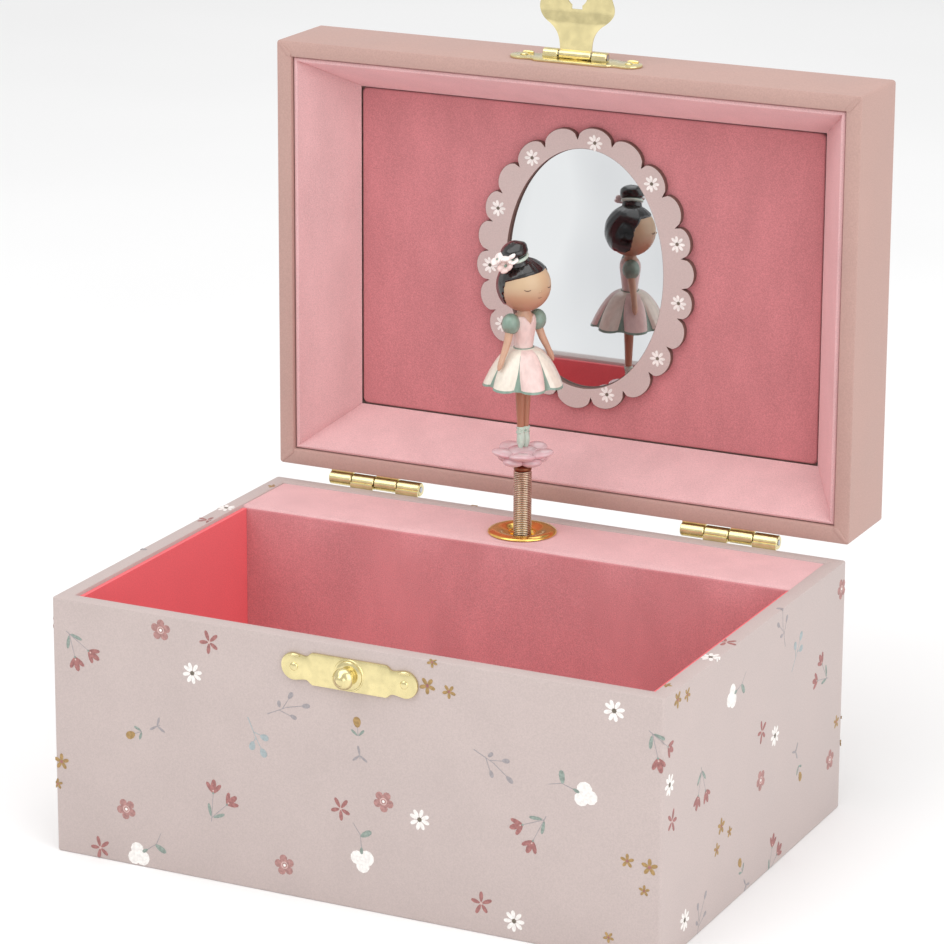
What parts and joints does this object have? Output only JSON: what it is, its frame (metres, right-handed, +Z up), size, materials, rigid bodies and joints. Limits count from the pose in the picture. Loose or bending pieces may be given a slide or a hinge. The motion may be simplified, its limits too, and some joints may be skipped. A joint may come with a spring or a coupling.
{
  "type": "ballerina jewellery box",
  "caption": "Paper-covered jewellery box with a hinged mirror lid, a brass hasp, and a turning doll on a spring driven by a wind-up movement.",
  "frame": {"origin": "middle of the case's underside, on the surface it stands on", "axes": "+Z up, +Y towards the hinges, +X to the right along the front; the lid stands open at a right angle"},
  "size_m": [0.17, 0.1521, 0.2216],
  "materials": {
    "printed_paper": "matt printed paper over board",
    "rose_paper": "plain matt paper over board",
    "mirror_card": "printed card",
    "coral_card": "smooth coated card",
    "velour": "short-pile flocked velour",
    "pale_brass": "polished pale plating",
    "rich_brass": "polished",
    "steel": "bright",
    "spring_steel": "close-wound wire",
    "cast_zinc": "cast",
    "white_plastic": "moulded",
    "mirror": "silvered",
    "doll_skin": "painted",
    "doll_hair": "gloss paint",
    "doll_dress": "painted",
    "doll_plinth": "clear tinted"
  },
  "bodies": {
    "case": {"base_bottom_board": "rose_paper", "base_front_board": "printed_paper", "base_back_board": "printed_paper", "base_left_board": "printed_paper", "base_right_board": "printed_paper", "base_wall_lining": "coral_card", "base_floor_pad": "velour", "compartment_front": "velour", "compartment_cover": "velour", "stem_eyelet": "rich_brass", "base_hinge_leaf_left": "pale_brass", "base_hinge_leaf_right": "pale_brass", "hinge_pin_left": "steel", "hinge_pin_right": "steel", "clasp_base_plate": "pale_brass", "clasp_stud": "pale_brass", "clasp_base_nail_left": "pale_brass", "clasp_base_nail_right": "pale_brass", "movement_bedplate": "cast_zinc", "comb_screw_1": "steel", "comb_screw_2": "steel", "movement_screw_1": "steel", "movement_screw_2": "steel", "music_comb": "steel", "barrel_bridge": "cast_zinc", "gear_bridge": "rich_brass", "governor_frame": "cast_zinc"},
    "lid": {"lid_top_board": "rose_paper", "lid_front_board": "rose_paper", "lid_back_board": "rose_paper", "lid_left_board": "rose_paper", "lid_right_board": "rose_paper", "lid_panel_pad": "velour", "lid_tray_walls": "velour", "mirror_frame": "mirror_card", "mirror_glass": "mirror", "lid_hinge_leaf_left": "pale_brass", "lid_hinge_leaf_right": "pale_brass", "clasp_lid_plate": "pale_brass", "clasp_hinge_pin": "steel", "clasp_lid_nail_left": "pale_brass", "clasp_lid_nail_right": "pale_brass"},
    "hasp": {"hasp": "pale_brass"},
    "stem": {"stem_spring": "spring_steel"},
    "doll": {"doll_plinth": "doll_plinth", "doll_body": "doll_skin", "doll_skirt": "doll_dress", "doll_head": "doll_skin", "doll_hair": "doll_hair"},
    "winding": {"winding_arbor": "steel", "winding_key": "steel"},
    "barrel": {"spring_barrel": "rich_brass", "mainspring": "spring_steel"},
    "cylinder": {"pinned_cylinder": "rich_brass", "cylinder_gear": "rich_brass"},
    "governor_wheel": {"governor_wheel": "rich_brass"},
    "governor_fly": {"governor_fly": "white_plastic"},
    "stem_shaft": {"stem_shaft": "steel"}
  },
  "joints": [
    {"name": "lid_hinge", "type": "hinge", "parent": "case", "child": "lid", "pos_m": [0, 0.0624, 0.0703], "axis": [1, 0, 0], "range_deg": [0, 90]},
    {"name": "hasp_hinge", "type": "hinge", "parent": "lid", "child": "hasp", "pos_m": [0, 0.0699, 0.1946], "axis": [1, 0, 0], "range_deg": [0, 90]},
    {"name": "stem_tilt", "type": "hinge", "parent": "case", "child": "stem", "pos_m": [-0.002, 0.0438, 0.0739], "axis": [1, 0, 0], "range_deg": [0, 92.1], "deforming": ["stem_spring"]},
    {"name": "doll_spin", "type": "hinge", "parent": "stem", "child": "doll", "pos_m": [-0.002, 0.0448, 0.0868], "axis": [0, 0, 1], "continuous": true},
    {"name": "key_turn", "type": "hinge", "parent": "case", "child": "winding", "pos_m": [-0.016, 0.05, 0.02], "axis": [0, 1, 0], "continuous": true},
    {"name": "barrel_spin", "type": "hinge", "parent": "case", "child": "barrel", "pos_m": [-0.016, 0.05, 0.02], "axis": [0, 1, 0], "continuous": true},
    {"name": "cylinder_spin", "type": "hinge", "parent": "case", "child": "cylinder", "pos_m": [-0.016, 0.0448, 0.043], "axis": [0, 0, 1], "continuous": true},
    {"name": "governor_wheel_spin", "type": "hinge", "parent": "case", "child": "governor_wheel", "pos_m": [-0.026, 0.0448, 0.055], "axis": [0, 0, 1], "continuous": true},
    {"name": "governor_fly_spin", "type": "hinge", "parent": "case", "child": "governor_fly", "pos_m": [-0.0336, 0.045, 0.0555], "axis": [0, 1, 0], "continuous": true},
    {"name": "stem_shaft_spin", "type": "hinge", "parent": "case", "child": "stem_shaft", "pos_m": [-0.002, 0.0448, 0.055], "axis": [0, 0, 1], "continuous": true}
  ],
  "couplings": [
    {"joint": "stem_tilt", "follows": "lid_hinge", "ratio": 1.0222},
    {"joint": "barrel_spin", "follows": "cylinder_spin", "ratio": -0.16667},
    {"joint": "governor_wheel_spin", "follows": "cylinder_spin", "ratio": -4},
    {"joint": "governor_fly_spin", "follows": "cylinder_spin", "ratio": 24},
    {"joint": "stem_shaft_spin", "follows": "cylinder_spin", "ratio": -1.3333},
    {"joint": "doll_spin", "follows": "cylinder_spin", "ratio": -1.3333}
  ]
}
